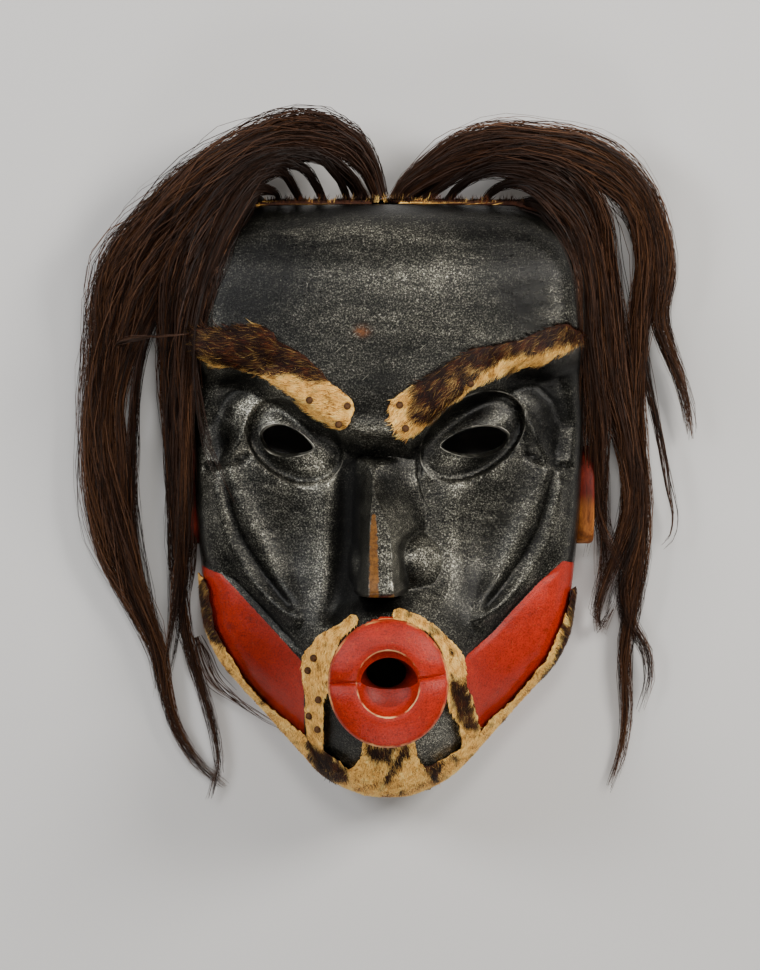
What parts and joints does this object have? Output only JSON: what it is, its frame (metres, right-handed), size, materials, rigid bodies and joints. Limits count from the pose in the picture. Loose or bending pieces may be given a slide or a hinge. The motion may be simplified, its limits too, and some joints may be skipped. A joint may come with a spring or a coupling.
{
  "type": "wild woman mask",
  "caption": "Carved and painted wooden mask, hollow at the back, with deep eye sockets, a hooked nose, round funnel lips, hide brows, moustache and beard, and long dark hair.",
  "frame": {"origin": "on the surface that the mask lies on, under the middle of its whole box", "axes": "+Z is the way the face looks, up as the mask lies; +Y is towards the top of the head; +X is on the right of a viewer who faces the mask"},
  "size_m": [0.323, 0.356, 0.1205],
  "materials": {
    "painted_wood": "black paint with a graphite sheen, worn to bare wood on the nose ridge; jaw panels and lips red",
    "ear_wood": "red and orange stained wood, matt",
    "fur_hide": "tan hide with patches of short brown fur",
    "hair": "long dark brown hair with a soft shine",
    "peg_wood": "small dark wooden pegs"
  },
  "bodies": {
    "root": {"mask_face": "painted_wood", "ear_left": "ear_wood", "ear_right": "ear_wood", "brow_hide_left": "fur_hide", "brow_hide_right": "fur_hide", "moustache_hide_left": "fur_hide", "moustache_hide_right": "fur_hide", "beard_hide": "fur_hide", "scalp_hide_left": "fur_hide", "scalp_hide_right": "fur_hide", "hair_left": "hair", "hair_right": "hair", "peg_brow_left_1": "peg_wood", "peg_brow_left_2": "peg_wood", "peg_brow_left_3": "peg_wood", "peg_brow_right_1": "peg_wood", "peg_brow_right_2": "peg_wood", "peg_brow_right_3": "peg_wood", "peg_moustache_1": "peg_wood", "peg_moustache_2": "peg_wood", "peg_moustache_3": "peg_wood", "peg_moustache_4": "peg_wood", "peg_moustache_5": "peg_wood"}
  },
  "joints": []
}
